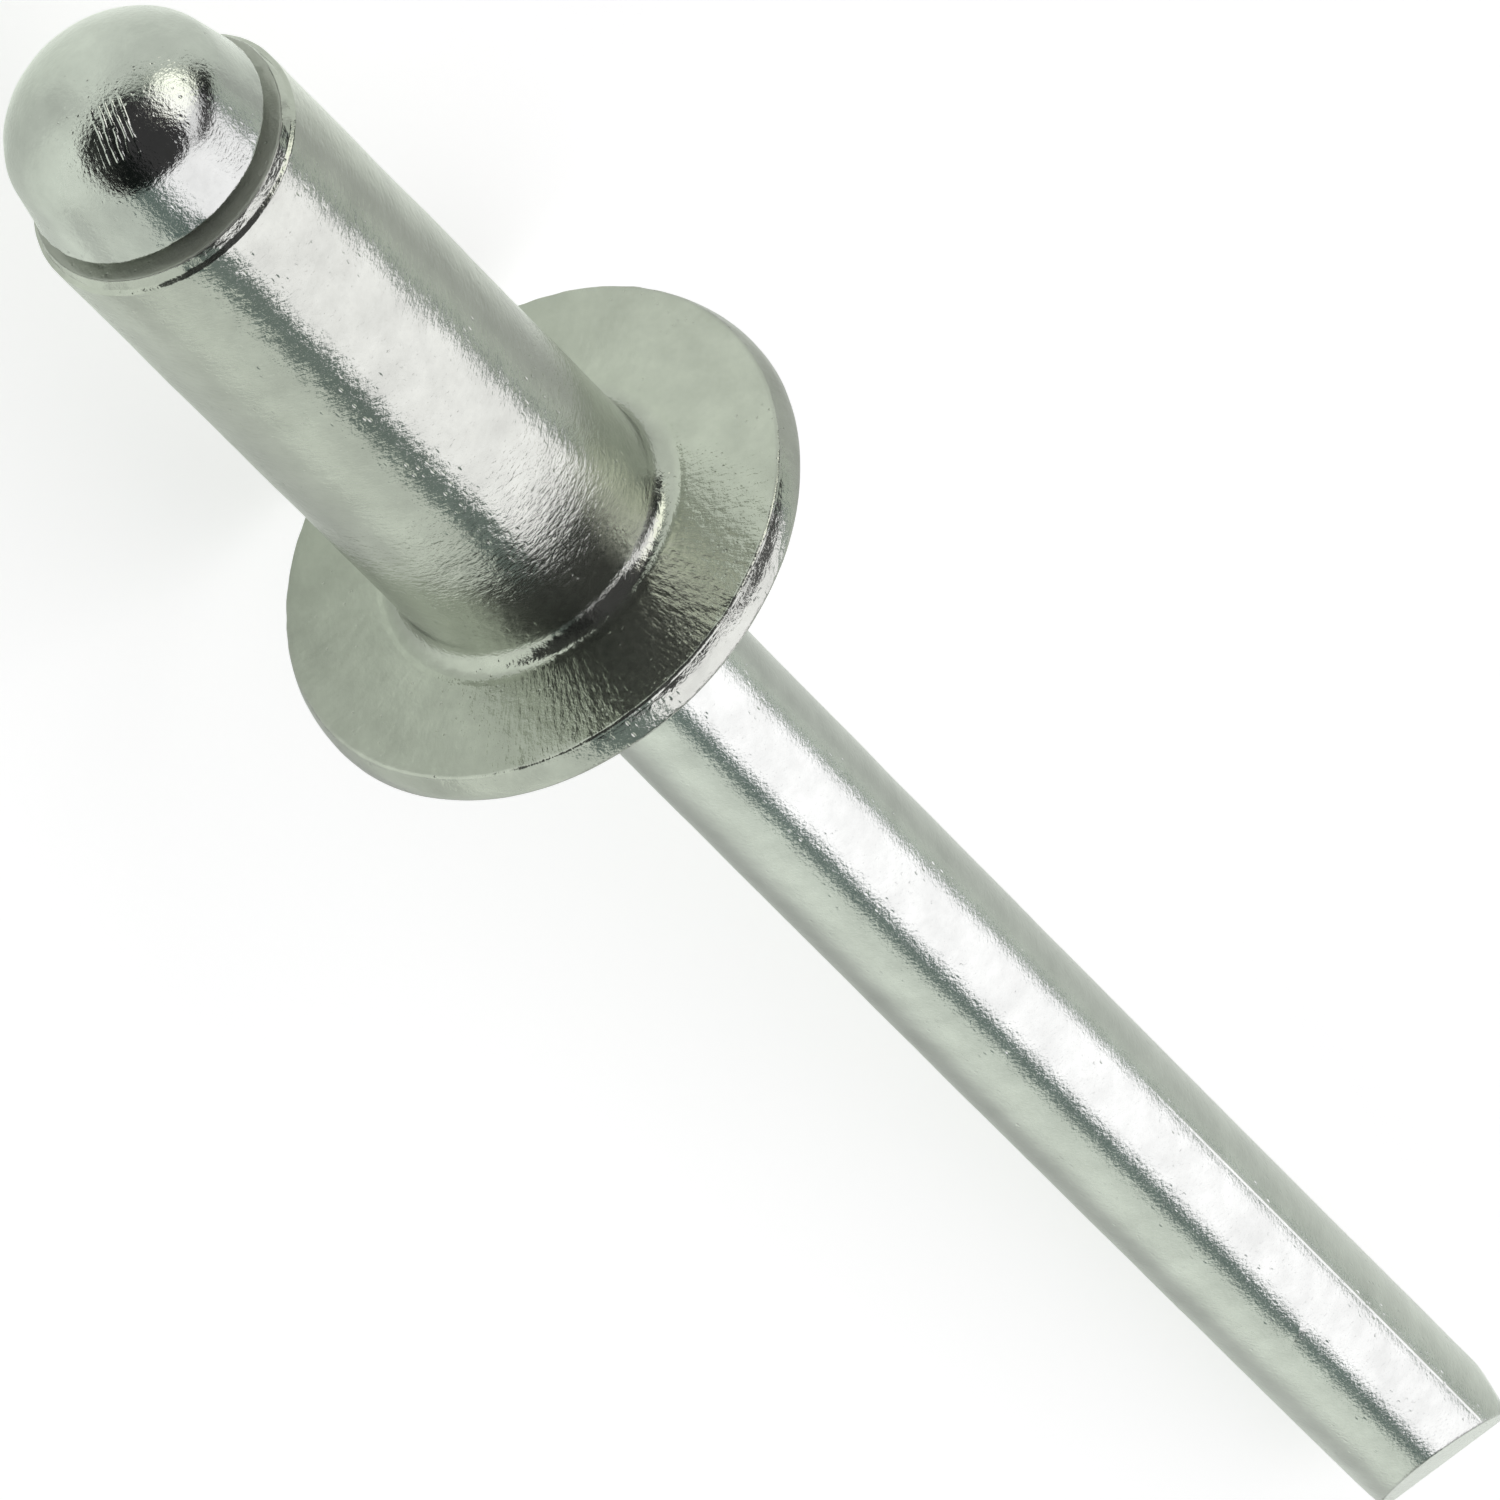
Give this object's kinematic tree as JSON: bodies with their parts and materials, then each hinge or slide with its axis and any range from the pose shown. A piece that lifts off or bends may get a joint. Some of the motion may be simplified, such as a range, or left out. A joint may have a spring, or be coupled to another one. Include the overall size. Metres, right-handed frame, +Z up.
{
  "type": "blind rivet",
  "caption": "Unset aluminium blind rivet: a flanged tube on a mandrel with a domed head and a pinched point, for joining sheets from one side.",
  "frame": {"origin": "on the surface that the rivet lies on, under the middle of its length", "axes": "+X along the surface from the blind end to the mandrel's point, +Z up; the rivet's own axis leans 6.3 degrees down towards +X"},
  "size_m": [0.046, 0.0094, 0.0093],
  "materials": {
    "body_metal": "bright tumbled aluminium with fine dents",
    "mandrel_metal": "bright drawn wire, with small nicks"
  },
  "bodies": {
    "root": {"rivet_body": "body_metal", "mandrel": "mandrel_metal"}
  },
  "joints": []
}
